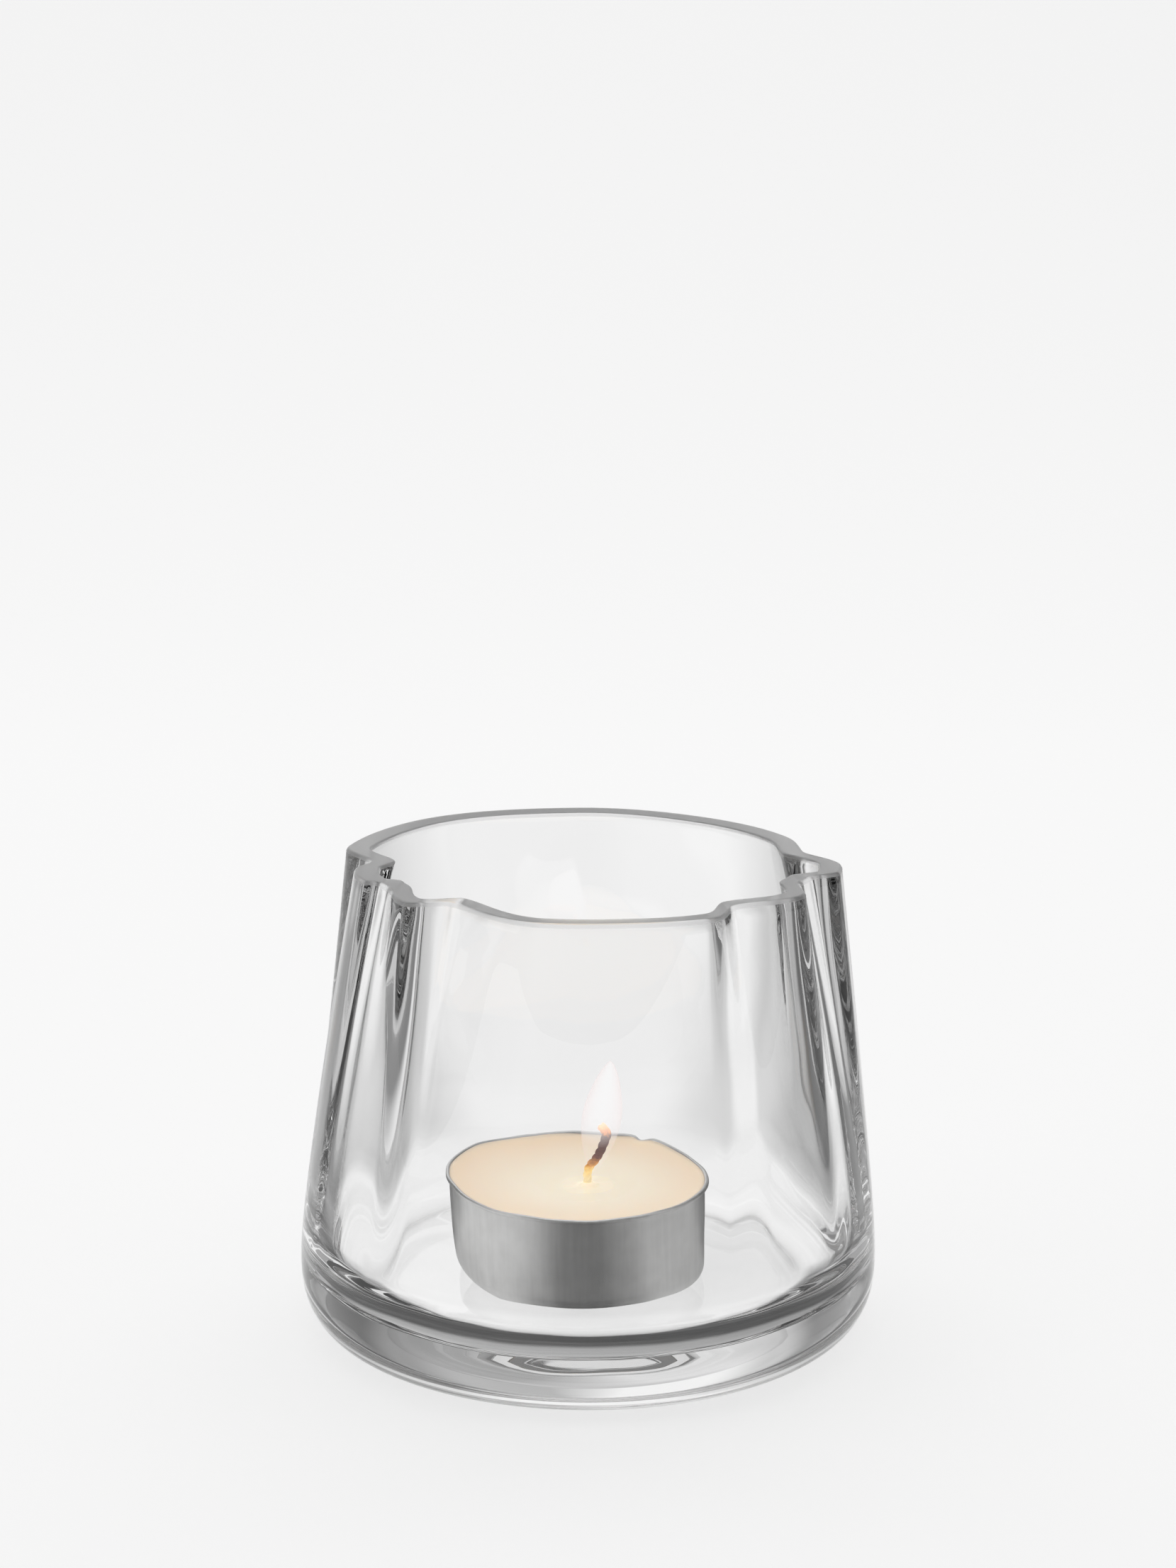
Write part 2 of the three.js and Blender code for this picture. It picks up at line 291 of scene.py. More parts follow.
# %% The tumbler's node tree
tree, given = new_tree("folded_tumbler", [
    ("Section", "Object"), ("Around", "Int"), ("Rows", "Int"), ("Height", "Float"),
    ("Fold Start", "Float"), ("Fold Growth", "Float"), ("Inner Fold Growth", "Float"),
    ("Unevenness", "Float"), ("Thick Side", "Float"), ("Ripple", "Float"), ("Ripple Size", "Float"),
    ("Finish", "Material")])
columns = add_node(tree, "ShaderNodeMath", {0: given["Around"], 1: 1.0}, operation="ADD")
grid = add_node(tree, "GeometryNodeMeshGrid", {
    "Size X": 1.0, "Size Y": 1.0, "Vertices X": columns.outputs[0], "Vertices Y": given["Rows"]})
place = add_node(tree, "GeometryNodeInputPosition").outputs[0]
flat = add_node(tree, "ShaderNodeSeparateXYZ", {0: place}).outputs
around = add_node(tree, "ShaderNodeMath", {0: flat["X"], 1: 0.5}, operation="ADD").outputs[0]
bearing = add_node(tree, "ShaderNodeMath", {0: around, 1: 360.0, 2: FOLDS[0][1]},
                   operation="MULTIPLY_ADD").outputs[0]
up_grid = add_node(tree, "ShaderNodeMath", {0: flat["Y"], 1: 0.5}, operation="ADD").outputs[0]
last_row = add_node(tree, "ShaderNodeMath", {0: given["Rows"], 1: 1.0}, operation="SUBTRACT")
row = add_node(tree, "ShaderNodeMath", {0: up_grid, 1: last_row.outputs[0]},
               operation="MULTIPLY").outputs[0]
row = add_node(tree, "ShaderNodeMath", {0: row}, operation="ROUND").outputs[0]
section = add_node(tree, "GeometryNodeObjectInfo", {"Object": given["Section"]})
sampled = add_node(tree, "GeometryNodeSampleIndex", {
    "Geometry": section.outputs["Geometry"], "Value": place, "Index": row},
    data_type="FLOAT_VECTOR")
in_section = add_node(tree, "ShaderNodeSeparateXYZ", {0: sampled.outputs[0]}).outputs
print("rows are read from the section by index")

# %% [markdown]
# A chain of smooth steps leads from each crest or hollow to the next. The folds are
# pressed in from outside at the rim, so they die away sooner on the inside face than on
# the outside one. Where the two differ the wall works as a lens, which draws dark
# streaks that narrow on the way down. The wall is also a little thicker on one side.

# %% The chain of folds, and how it fades on each face
folded = FOLDS[0][2] * MM
for (_, start, here), (_, end, there) in zip(FOLDS, FOLDS[1:]):
    step = add_node(tree, "ShaderNodeMapRange", {
        "Value": bearing, "From Min": start, "From Max": end,
        "To Min": 0.0, "To Max": (there - here) * MM}, interpolation_type="SMOOTHSTEP")
    folded = add_node(tree, "ShaderNodeMath", {0: folded, 1: step.outputs[0]},
                      operation="ADD").outputs[0]
run = add_node(tree, "ShaderNodeMapRange", {
    "Value": in_section["Z"], "From Min": given["Fold Start"], "From Max": given["Height"]})
strength = add_node(tree, "ShaderNodeMath", {0: run.outputs[0], 1: given["Fold Growth"]},
                    operation="POWER").outputs[0]
inner_strength = add_node(tree, "ShaderNodeMath", {
    0: run.outputs[0], 1: given["Inner Fold Growth"]}, operation="POWER").outputs[0]
fade = add_node(tree, "ShaderNodeMix", {
    "Factor": in_section["Y"], "A": strength, "B": inner_strength}).outputs[0]
push = add_node(tree, "ShaderNodeMath", {0: folded, 1: fade}, operation="MULTIPLY").outputs[0]
radians = add_node(tree, "ShaderNodeMath", {0: bearing}, operation="RADIANS").outputs[0]
from_thick = add_node(tree, "ShaderNodeMath", {0: radians, 1: given["Thick Side"]},
                      operation="SUBTRACT").outputs[0]
side = add_node(tree, "ShaderNodeMath", {0: from_thick}, operation="COSINE").outputs[0]
uneven = add_node(tree, "ShaderNodeMath", {0: side, 1: given["Unevenness"]},
                  operation="MULTIPLY").outputs[0]
uneven = add_node(tree, "ShaderNodeMath", {0: uneven, 1: strength}, operation="MULTIPLY").outputs[0]
uneven = add_node(tree, "ShaderNodeMath", {0: uneven, 1: in_section["Y"]},
                  operation="MULTIPLY").outputs[0]
off_axis = add_node(tree, "ShaderNodeMath", {0: in_section["X"], 1: 0.0},
                    operation="GREATER_THAN").outputs[0]
push = add_node(tree, "ShaderNodeMath", {0: push, 1: uneven}, operation="SUBTRACT").outputs[0]
radius = add_node(tree, "ShaderNodeMath", {0: push, 1: off_axis, 2: in_section["X"]},
                  operation="MULTIPLY_ADD").outputs[0]
print("steps in the chain:", len(FOLDS) - 1)

# %% Wrap the grid round the axis, close it and give the inside its hand-made ripple
cosine = add_node(tree, "ShaderNodeMath", {0: radians}, operation="COSINE").outputs[0]
sine = add_node(tree, "ShaderNodeMath", {0: radians}, operation="SINE").outputs[0]
x = add_node(tree, "ShaderNodeMath", {0: radius, 1: cosine}, operation="MULTIPLY").outputs[0]
y = add_node(tree, "ShaderNodeMath", {0: radius, 1: sine}, operation="MULTIPLY").outputs[0]
wrapped = add_node(tree, "ShaderNodeCombineXYZ", {"X": x, "Y": y, "Z": in_section["Z"]})
marked = add_node(tree, "GeometryNodeCaptureAttribute", {"Geometry": grid.outputs["Mesh"]})
marked.capture_items.new("FLOAT", "Inside")
tree.links.new(in_section["Y"], marked.inputs["Inside"])
shaped = add_node(tree, "GeometryNodeSetPosition", {
    "Geometry": marked.outputs["Geometry"], "Position": wrapped.outputs[0]})
closed = add_node(tree, "GeometryNodeMergeByDistance", {
    "Geometry": shaped.outputs[0], "Distance": 0.002 * MM})
size = add_node(tree, "ShaderNodeMath", {0: 1.0, 1: given["Ripple Size"]}, operation="DIVIDE")
noise = add_node(tree, "ShaderNodeTexNoise", {
    "Vector": place, "Scale": size.outputs[0], "Detail": 1.0})
swing = add_node(tree, "ShaderNodeMath", {0: noise.outputs[0], 1: 0.5}, operation="SUBTRACT")
swing = add_node(tree, "ShaderNodeMath", {0: swing.outputs[0], 1: given["Ripple"]},
                 operation="MULTIPLY")
swing = add_node(tree, "ShaderNodeMath", {0: swing.outputs[0], 1: marked.outputs["Inside"]},
                 operation="MULTIPLY")
below_rim = add_node(tree, "ShaderNodeMapRange", {
    "Value": add_node(tree, "ShaderNodeSeparateXYZ", {0: place}).outputs["Z"],
    "From Min": HOLDER_HEIGHT - 6 * MM, "From Max": HOLDER_HEIGHT - 2 * MM,
    "To Min": 1.0, "To Max": 0.0})
swing = add_node(tree, "ShaderNodeMath", {0: swing.outputs[0], 1: below_rim.outputs[0]},
                 operation="MULTIPLY")
facing = add_node(tree, "GeometryNodeInputNormal").outputs[0]
offset = add_node(tree, "ShaderNodeVectorMath", {0: facing, "Scale": swing.outputs[0]},
                  operation="SCALE")
rippled = add_node(tree, "GeometryNodeSetPosition", {
    "Geometry": closed.outputs[0], "Offset": offset.outputs[0]})
smooth = add_node(tree, "GeometryNodeSetShadeSmooth", {0: rippled.outputs[0]})
solid = add_node(tree, "GeometryNodeRealizeInstances", {0: smooth.outputs[0]})
finished = add_node(tree, "GeometryNodeSetMaterial", {
    "Geometry": solid.outputs[0], "Material": given["Finish"]})
add_node(tree, "NodeGroupOutput", {0: finished.outputs[0]})

section_mesh = bpy.data.meshes.new("tumbler_section")
section_mesh.from_pydata([Vector(row) for row in section_rows], [], [])
section_object = bpy.data.objects.new("tumbler_section", section_mesh)
bpy.context.scene.collection.objects.link(section_object)
holder = piece_from_tree("glass_tumbler", tree, {
    "Section": section_object, "Around": 540, "Rows": len(section_rows),
    "Height": HOLDER_HEIGHT, "Fold Start": FOLD_START, "Fold Growth": FOLD_GROWTH,
    "Inner Fold Growth": INNER_FOLD_GROWTH, "Unevenness": WALL_UNEVENNESS,
    "Thick Side": WALL_THICK_SIDE, "Ripple": RIPPLE, "Ripple Size": RIPPLE_SIZE,
    "Finish": clear_glass})
bpy.data.objects.remove(section_object)
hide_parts("glass_holder")
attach(holder, "holder")


# %% [markdown]
# The cup, the wax and the sustainer are all turned shapes with small departures from
# round, so one plain function turns a section into rings of points. A bend function
# may move each point, for a dent or a wavy edge. Ends on the axis close to one point.

# %% Turn a section about the cup's axis
def turned_piece(name, rows, steps, finish, bend=None, centre=(0.0, 0.0), closed=False):
    shape = bmesh.new()
    rings = []
    for radius, z in rows:
        spots = []
        for k in range(1 if radius == 0 else steps):
            angle = TURN * k / steps
            r, h = bend(radius, z, angle) if bend and radius > 0 else (radius, z)
            spots.append(shape.verts.new((
                centre[0] + r * math.cos(angle), centre[1] + r * math.sin(angle), h)))
        rings.append(spots)
    pairs = list(zip(rings, rings[1:]))
    if closed:
        pairs.append((rings[-1], rings[0]))
    for low, high in pairs:
        for k in range(steps):
            after = (k + 1) % steps
            corners = [low[k % len(low)], low[after % len(low)],
                       high[after % len(high)], high[k % len(high)]]
            shape.faces.new(list(dict.fromkeys(corners)))
    for face in shape.faces:
        face.smooth = True
    mesh = bpy.data.meshes.new(name)
    shape.to_mesh(mesh)
    shape.free()
    mesh.materials.append(finish)
    piece = bpy.data.objects.new(name, mesh)
    bpy.context.scene.collection.objects.link(piece)
    print(name, "faces:", len(mesh.polygons))
    return piece


def arc(centre_r, centre_z, radius, start, end, steps):
    """Points on an arc, angles in degrees from the outward direction."""
    turns = [math.radians(start + (end - start) * i / steps) for i in range(steps + 1)]
    return [(centre_r + radius * math.cos(t), centre_z + radius * math.sin(t)) for t in turns]


# %% [markdown]
# The cup is drawn from rolled aluminium sheet about 0.2 mm thick. Rolling leaves a
# satin skin, and drawing drags faint upright lines up the wall, a few tenths of a
# millimetre apart. The lines are stretched noise that nudges the roughness and the
# bump; they are drawn at 0.9 mm, since the real ones are too fine to show.

# %% Finish: drawn aluminium sheet
LINE_SPACING = 0.9 * MM
LINE_LENGTH = 20 * MM
drawn_aluminium, tree, metal = new_material("drawn_aluminium_sheet")
metal.inputs["Metallic"].default_value = 1.0
where = add_node(tree, "ShaderNodeTexCoord").outputs["Object"]
centred = add_node(tree, "ShaderNodeMapping", {"Vector": where, "Location": (-CUP_X, -CUP_Y, 0)})
upright = add_node(tree, "ShaderNodeMapping", {
    "Vector": centred.outputs[0],
    "Scale": (1 / LINE_SPACING, 1 / LINE_SPACING, 1 / LINE_LENGTH)})
lines = add_node(tree, "ShaderNodeTexNoise", {
    "Vector": upright.outputs[0], "Scale": 1.0, "Detail": 2.0})
cloud = add_node(tree, "ShaderNodeTexNoise", {
    "Vector": centred.outputs[0], "Scale": 1 / (3 * MM), "Detail": 6.0})
both = add_node(tree, "ShaderNodeMath", {0: cloud.outputs[0], 1: lines.outputs[0]}, operation="ADD")
both = add_node(tree, "ShaderNodeMath", {0: both.outputs[0], 1: 0.5}, operation="MULTIPLY")
shade = add_node(tree, "ShaderNodeValToRGB", {"Fac": both.outputs[0]})
fill_ramp(shade, [(0.35, "D8D8D7"), (0.65, "EAEAE9")])
tree.links.new(shade.outputs["Color"], metal.inputs["Base Color"])
dull = add_node(tree, "ShaderNodeMapRange", {
    "Value": lines.outputs[0], "From Min": 0.3, "From Max": 0.7, "To Min": 0.34, "To Max": 0.42})
tree.links.new(dull.outputs[0], metal.inputs["Roughness"])
bump = add_node(tree, "ShaderNodeBump", {
    "Height": lines.outputs[0], "Strength": 0.07, "Distance": 0.05 * MM})
tree.links.new(bump.outputs[0], metal.inputs["Normal"])
print("aluminium lines every mm:", round(LINE_SPACING / MM, 2))

# %% [markdown]
# The real cup is one sheet: flat base with a pressed ring, rounded corner, a wall with
# slight draft, and an edge rolled outwards. The edge is never true, so it wanders a
# little, and at the back it carries a small dent from handling. The cup stands a hair's
# breadth above the glass floor: two faces in one plane would show as noise.

# %% The tealight's cup
CUP_HEIGHT = cup_high[2] - cup_low[2]
CUP_RADIUS = 18.75 * MM
CUP_FOOT_RADIUS = 18.25 * MM
CUP_SHEET = 0.22 * MM
CUP_CORNER = 2.5 * MM
BEAD_RADIUS = 0.35 * MM
BEAD_STEP = 0.08 * MM
DENT_BEARING = math.radians(59)
DENT_WIDTH = math.radians(4.2)
DENT_DEPTH = 1.1 * MM
CUP_GAP = 0.05 * MM
RING_FROM = 11.4 * MM
RING_TO = 13.0 * MM
RING_SLOPE = 0.4 * MM
RING_LIFT_OUTSIDE = 0.25 * MM
RING_LIFT_INSIDE = 0.23 * MM


def dent_at(angle):
    away = (angle - DENT_BEARING + math.pi) % TURN - math.pi
    return math.exp(-(away / DENT_WIDTH) ** 2)


def cup_bend(r, z, angle):
    up = max((z - FLOOR_HEIGHT) / CUP_HEIGHT, 0.0)
    near_rim = min(max((up - 0.8) / 0.2, 0.0), 1.0) ** 2
    waver = (0.5 * math.sin(3 * angle + 1.0) + 0.3 * math.sin(7 * angle)
             + 0.2 * math.sin(17 * angle + 2))
    r += (0.10 * waver - 0.05) * MM * near_rim - DENT_DEPTH * dent_at(angle) * near_rim
    flutes = math.sin(11 * angle + 0.5) * math.sin(5 * angle)
    r += 0.05 * MM * flutes * min(up * 4, 1.0)
    z -= (0.12 * waver * MM + 0.12 * MM + 0.25 * MM * dent_at(angle)) * near_rim
    return r, z


def pressed_ring(base, lift):
    """The ring pressed up into the cup's base, from the middle outwards."""
    return [(RING_FROM, base), (RING_FROM + RING_SLOPE, base + lift),
            (RING_TO - RING_SLOPE, base + lift), (RING_TO, base)]


CUP_BASE = FLOOR_HEIGHT + CUP_GAP
bead_height = FLOOR_HEIGHT + CUP_HEIGHT - BEAD_RADIUS
corner = CUP_FOOT_RADIUS - CUP_CORNER
cup_rows = [(0.0, CUP_BASE), (3 * MM, CUP_BASE)]
cup_rows += pressed_ring(CUP_BASE, RING_LIFT_OUTSIDE)
cup_rows += arc(corner, CUP_BASE + CUP_CORNER, CUP_CORNER, -90, 0, 10)
wall_from = CUP_BASE + CUP_CORNER
wall_to = bead_height - BEAD_RADIUS * 1.2
for i in range(1, 13):
    part = i / 12
    cup_rows.append((CUP_FOOT_RADIUS + (CUP_RADIUS - 0.3 * MM - CUP_FOOT_RADIUS) * part,
                     wall_from + (wall_to - wall_from) * part))
cup_rows += arc(CUP_RADIUS, bead_height, BEAD_RADIUS, -130, 150, 12)
bead_inner = CUP_RADIUS - BEAD_RADIUS - BEAD_STEP
cup_rows.append((bead_inner, bead_height - BEAD_RADIUS * 0.4))
for i in range(12, -1, -1):
    part = i / 12
    inner_foot = CUP_FOOT_RADIUS - CUP_SHEET
    cup_rows.append((inner_foot + (bead_inner - inner_foot) * part,
                     wall_from + (wall_to - wall_from) * part))
cup_rows += arc(corner, CUP_BASE + CUP_CORNER, CUP_CORNER - CUP_SHEET, -10, -90, 8)
cup_rows += reversed(pressed_ring(CUP_BASE + CUP_SHEET, RING_LIFT_INSIDE))
cup_rows += [(3 * MM, CUP_BASE + CUP_SHEET), (0.0, CUP_BASE + CUP_SHEET)]
cup = turned_piece("aluminium_cup", cup_rows, 288, drawn_aluminium, cup_bend, (CUP_X, CUP_Y))
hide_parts("tealight_cup")
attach(cup, "tealight")

# %% [markdown]
# Paraffin wax lets light in a few millimetres before it turns back, so it glows where
# it is thin or near the flame, and its shadows are soft. Subsurface scattering does
# that. A painted glow over the whole wax stands in for the flame's light, and for the
# light the glass keeps off it. Near the wick the wax is molten and glossy; further out
# it is set and duller, so roughness follows the distance from the wick. Its colour is
# paler and yellower near the wick and more peach further out: painted flame light on
# the wax's own cream colour.

# %% Finish: poured paraffin wax
sustainer_low, sustainer_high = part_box("wick_sustainer")
WICK_X = (sustainer_low[0] + sustainer_high[0]) / 2
WICK_Y = (sustainer_low[1] + sustainer_high[1]) / 2
WAX_EDGE = 19 * MM
poured_wax, tree, wax_shader = new_material("poured_paraffin_wax")
wax_shader.inputs["Subsurface Weight"].default_value = 0.6
wax_shader.inputs["Subsurface Radius"].default_value = (1.0, 0.7, 0.45)
wax_shader.inputs["Subsurface Scale"].default_value = 3 * MM
wax_shader.inputs["IOR"].default_value = 1.43
where = add_node(tree, "ShaderNodeTexCoord").outputs["Object"]
centred = add_node(tree, "ShaderNodeMapping", {
    "Vector": where, "Location": (-WICK_X, -WICK_Y, 0), "Scale": (1, 1, 0)})
away = add_node(tree, "ShaderNodeVectorMath", {0: centred.outputs[0]}, operation="LENGTH")
reach = add_node(tree, "ShaderNodeMapRange", {
    "Value": away.outputs["Value"], "From Min": 0.0, "From Max": WAX_EDGE})
# Painted flame light: the wax's own cream-to-peach colour turns paler and yellower near the wick.
wax_tint_and_flame_light = add_node(tree, "ShaderNodeValToRGB", {"Fac": reach.outputs[0]})
fill_ramp(wax_tint_and_flame_light, [(0.0, "F8EED6"), (0.45, "F7EAD4"), (1.0, "F2DABE")])
tree.links.new(wax_tint_and_flame_light.outputs["Color"], wax_shader.inputs["Base Color"])
# Painted glow in the same colour over the whole wax, for the flame's light and the light the glass
# keeps off.
tree.links.new(wax_tint_and_flame_light.outputs["Color"], wax_shader.inputs["Emission Color"])
wax_shader.inputs["Emission Strength"].default_value = 0.42
melt = add_node(tree, "ShaderNodeMapRange", {
    "Value": away.outputs["Value"], "From Min": 2.5 * MM, "From Max": 5 * MM,
    "To Min": 0.06, "To Max": 0.42})
tree.links.new(melt.outputs[0], wax_shader.inputs["Roughness"])
grain = add_node(tree, "ShaderNodeTexNoise", {
    "Vector": where, "Scale": 1 / (0.8 * MM), "Detail": 3.0})
bump = add_node(tree, "ShaderNodeBump", {
    "Height": grain.outputs[0], "Strength": 0.15, "Distance": 0.04 * MM})
tree.links.new(bump.outputs[0], wax_shader.inputs["Normal"])
print("wick axis mm:", round(WICK_X / MM, 2), round(WICK_Y / MM, 2))

# %% [markdown]
# Wax shrinks as it sets, so its top creeps up the cup at the edge and dips towards the
# middle, and the melt leaves low ripples round the wick. It fills the cup to the wall,
# and has a well in its underside for the sustainer.

# %% The wax's sizes
WAX_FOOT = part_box("wax_puck")[0][2]
WAX_LEVEL = FLOOR_HEIGHT + 14.1 * MM
WAX_RADIUS = 18.35 * MM
WAX_SIDE_FOOT = 17.8 * MM
WAX_SIDE_FROM = WAX_FOOT + 2.4 * MM
CREEP = 0.6 * MM
CREEP_REACH = 1.1 * MM
DISH = 0.25 * MM
DISH_REACH = 9 * MM
MELT_RIPPLE = 0.05 * MM
MENISCUS_FROM = 1.9 * MM
BORE_RADIUS = 0.6 * MM
NECK_WELL_RADIUS = 1.4 * MM
WELL_RADIUS = 6.7 * MM
WELL_REACH = 7 * MM
WELL_FADE = 9 * MM
well_height = sustainer_low[2] + 0.9 * MM
neck_top = sustainer_high[2] + 0.1 * MM
print("wax top over the glass floor mm:", round((WAX_LEVEL - FLOOR_HEIGHT) / MM, 2))


# %% The wax
def wax_bend(r, z, angle):
    outer = min(max((r - 10 * MM) / (8 * MM), 0.0), 1.0)
    high = min(max((z - WAX_FOOT) / (14 * MM) - 0.75, 0.0) * 4, 1.0)
    r -= (DENT_DEPTH * 1.02 * dent_at(angle)) * outer ** 6 * high
    if r > 1.2 * MM and z > neck_top:
        z += MELT_RIPPLE * math.sin(5 * angle + 1 + r / (2.2 * MM)) * math.sin(r / (1.9 * MM))
    return r, z


wax_rows = [(WELL_RADIUS, WAX_FOOT), (15.6 * MM, WAX_FOOT), (17.0 * MM, WAX_FOOT + 0.6 * MM),
            (WAX_SIDE_FOOT, WAX_SIDE_FROM)]
for i in range(1, 7):
    part = i / 6
    wax_rows.append((WAX_SIDE_FOOT + (WAX_RADIUS - WAX_SIDE_FOOT) * part,
                     WAX_SIDE_FROM + (WAX_LEVEL + CREEP - WAX_SIDE_FROM) * part))
for i in range(1, 41):
    r = WAX_RADIUS + (MENISCUS_FROM - WAX_RADIUS) * i / 40
    creep = CREEP * math.exp(-(WAX_RADIUS - r) / CREEP_REACH)
    dish = DISH * (1 - min(r / DISH_REACH, 1.0) ** 2)
    wax_rows.append((r, WAX_LEVEL + creep - dish))
wax_rows += [(1.5 * MM, WAX_LEVEL - 0.22 * MM), (1.1 * MM, WAX_LEVEL - 0.02 * MM),
             (0.8 * MM, WAX_LEVEL + 0.22 * MM), (BORE_RADIUS, WAX_LEVEL + 0.25 * MM),
             (BORE_RADIUS, neck_top), (NECK_WELL_RADIUS, neck_top),
             (NECK_WELL_RADIUS, well_height), (WELL_RADIUS, well_height)]
wax = turned_piece("paraffin_wax", wax_rows, 216, poured_wax, wax_bend, (CUP_X, CUP_Y), closed=True)

# The wick stands a little off the cup's axis, so the bore and wells move over with it.
for vertex in wax.data.vertices:
    r = math.hypot(vertex.co.x - CUP_X, vertex.co.y - CUP_Y)
    share = min(max((WELL_FADE - r) / (WELL_FADE - WELL_REACH), 0.0), 1.0)
    vertex.co.x += (WICK_X - CUP_X) * share
    vertex.co.y += (WICK_Y - CUP_Y) * share
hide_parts("wax_puck")
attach(wax, "candle")

# %% [markdown]
# The wick stands in a sustainer: a disc of tinned steel pressed with a short neck that
# is crimped shut on the cotton. It hides in the wax, and shows from below when the
# candle is out of its cup. Tin plate is bright with a faint cloudiness.

# %% Finish and piece: the tinned sustainer
tin_plate, tree, tin = new_material("pressed_tin_plate")
tin.inputs["Metallic"].default_value = 1.0
where = add_node(tree, "ShaderNodeTexCoord").outputs["Object"]
cloud = add_node(tree, "ShaderNodeTexNoise", {
    "Vector": where, "Scale": 1 / (1.5 * MM), "Detail": 3.0})
shade = add_node(tree, "ShaderNodeValToRGB", {"Fac": cloud.outputs[0]})
fill_ramp(shade, [(0.0, "9C9B97"), (1.0, "C4C3BF")])
tree.links.new(shade.outputs["Color"], tin.inputs["Base Color"])
dull = add_node(tree, "ShaderNodeMapRange", {
    "Value": cloud.outputs[0], "To Min": 0.22, "To Max": 0.4})
tree.links.new(dull.outputs[0], tin.inputs["Roughness"])

DISC = sustainer_low[2]
NECK_TOP = sustainer_high[2]


def crimp(r, z, angle):
    if r < 2 * MM and z > DISC + 1.5 * MM:
        r -= 0.12 * MM * (1 + math.cos(3 * angle)) / 2
    return r, z


def above_disc(points):
    return [(r * MM, DISC + up * MM) for r, up in points]


underside = [(0.0, 0.0), (4.6, 0.0), (5.0, 0.15), (5.6, 0.15), (6.0, 0.0), (6.45, 0.05)]
edge = [(6.5, 0.15), (6.4, 0.25), (6.0, 0.25)]
top_and_neck = [(5.6, 0.4), (5.0, 0.4), (4.6, 0.25), (1.7, 0.25), (1.4, 0.35), (1.25, 0.6),
                (1.2, 1.6), (1.15, 2.6)]
neck_inside = [(0.9, 2.6), (0.95, 1.6), (0.95, 0.3), (0.0, 0.25)]
sustainer_rows = above_disc(underside + edge + top_and_neck)
sustainer_rows += [(1.2 * MM, NECK_TOP), (0.95 * MM, NECK_TOP)]
sustainer_rows += above_disc(neck_inside)
sustainer = turned_piece("sustainer", sustainer_rows, 96, tin_plate, crimp, (WICK_X, WICK_Y))
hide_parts("wick_sustainer")
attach(sustainer, "candle")

# %% [markdown]
# A tealight wick is braided cotton, about 1.3 mm thick. Its foot is soaked in wax and
# pale yellow, with a painted glow that stands in for the flame's light on it; higher up
# it is charred brown-black, and its tip is a bright ember that glows of itself. The
# colour and the glow follow the height above the wax, and a fine noise breaks them up.

# %% Finish: braided cotton, waxed and charred
wick_low, wick_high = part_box("wick")
CHAR_SHIFT = 0.8 * MM
char_span = wick_high[2] - WAX_LEVEL
charred_cotton, tree, cotton = new_material("charred_braided_cotton")
cotton.inputs["Specular IOR Level"].default_value = 0.15
where = add_node(tree, "ShaderNodeTexCoord").outputs["Object"]
height = add_node(tree, "ShaderNodeSeparateXYZ", {0: where}).outputs["Z"]
speck = add_node(tree, "ShaderNodeTexNoise", {
    "Vector": where, "Scale": 1 / (0.5 * MM), "Detail": 3.0})
shift = add_node(tree, "ShaderNodeMath", {0: speck.outputs[0], 1: 2 * CHAR_SHIFT, 2: height},
                 operation="MULTIPLY_ADD")
burnt = add_node(tree, "ShaderNodeMapRange", {
    "Value": shift.outputs[0], "From Min": WAX_LEVEL + CHAR_SHIFT,
    "From Max": WAX_LEVEL + CHAR_SHIFT + char_span})
char = add_node(tree, "ShaderNodeValToRGB", {"Fac": burnt.outputs[0]})
fill_ramp(char, [(0.1, "F2E3C4"), (0.25, "ECC888"), (0.36, "B0702C"), (0.47, "5A2A14"),
                 (0.6, "20100C"), (0.8, "3A1A10"), (0.9, "C06A24"), (0.99, "D9A066")])
tree.links.new(char.outputs["Color"], cotton.inputs["Base Color"])
# Painted flame light at the foot: the waxed cotton glows pale yellow as if lit by the flame. The
# ember at the tip glows of itself.
glow = add_node(tree, "ShaderNodeValToRGB", {"Fac": burnt.outputs[0]})
fill_ramp(glow, [(0.0, "70664C"), (0.22, "8C7A4A"), (0.34, "7E5826"), (0.48, "38140A"),
                 (0.8, "401A0C"), (0.96, "FFA030")])
tree.links.new(glow.outputs["Color"], cotton.inputs["Emission Color"])
cotton.inputs["Emission Strength"].default_value = 1.6
cotton.inputs["Roughness"].default_value = 0.85
fuzz = add_node(tree, "ShaderNodeBump", {
    "Height": speck.outputs[0], "Strength": 0.5, "Distance": 0.1 * MM})
tree.links.new(fuzz.outputs[0], cotton.inputs["Normal"])
print("wick stands out of the wax by mm:", round(char_span / MM, 2))

# %% [markdown]
# The braid is three strands that wind round one path. Geometry Nodes copy the path,
# push each copy off it by an angle that grows along it, and sweep a circle down each
# one. The strands thin towards the burnt tip.

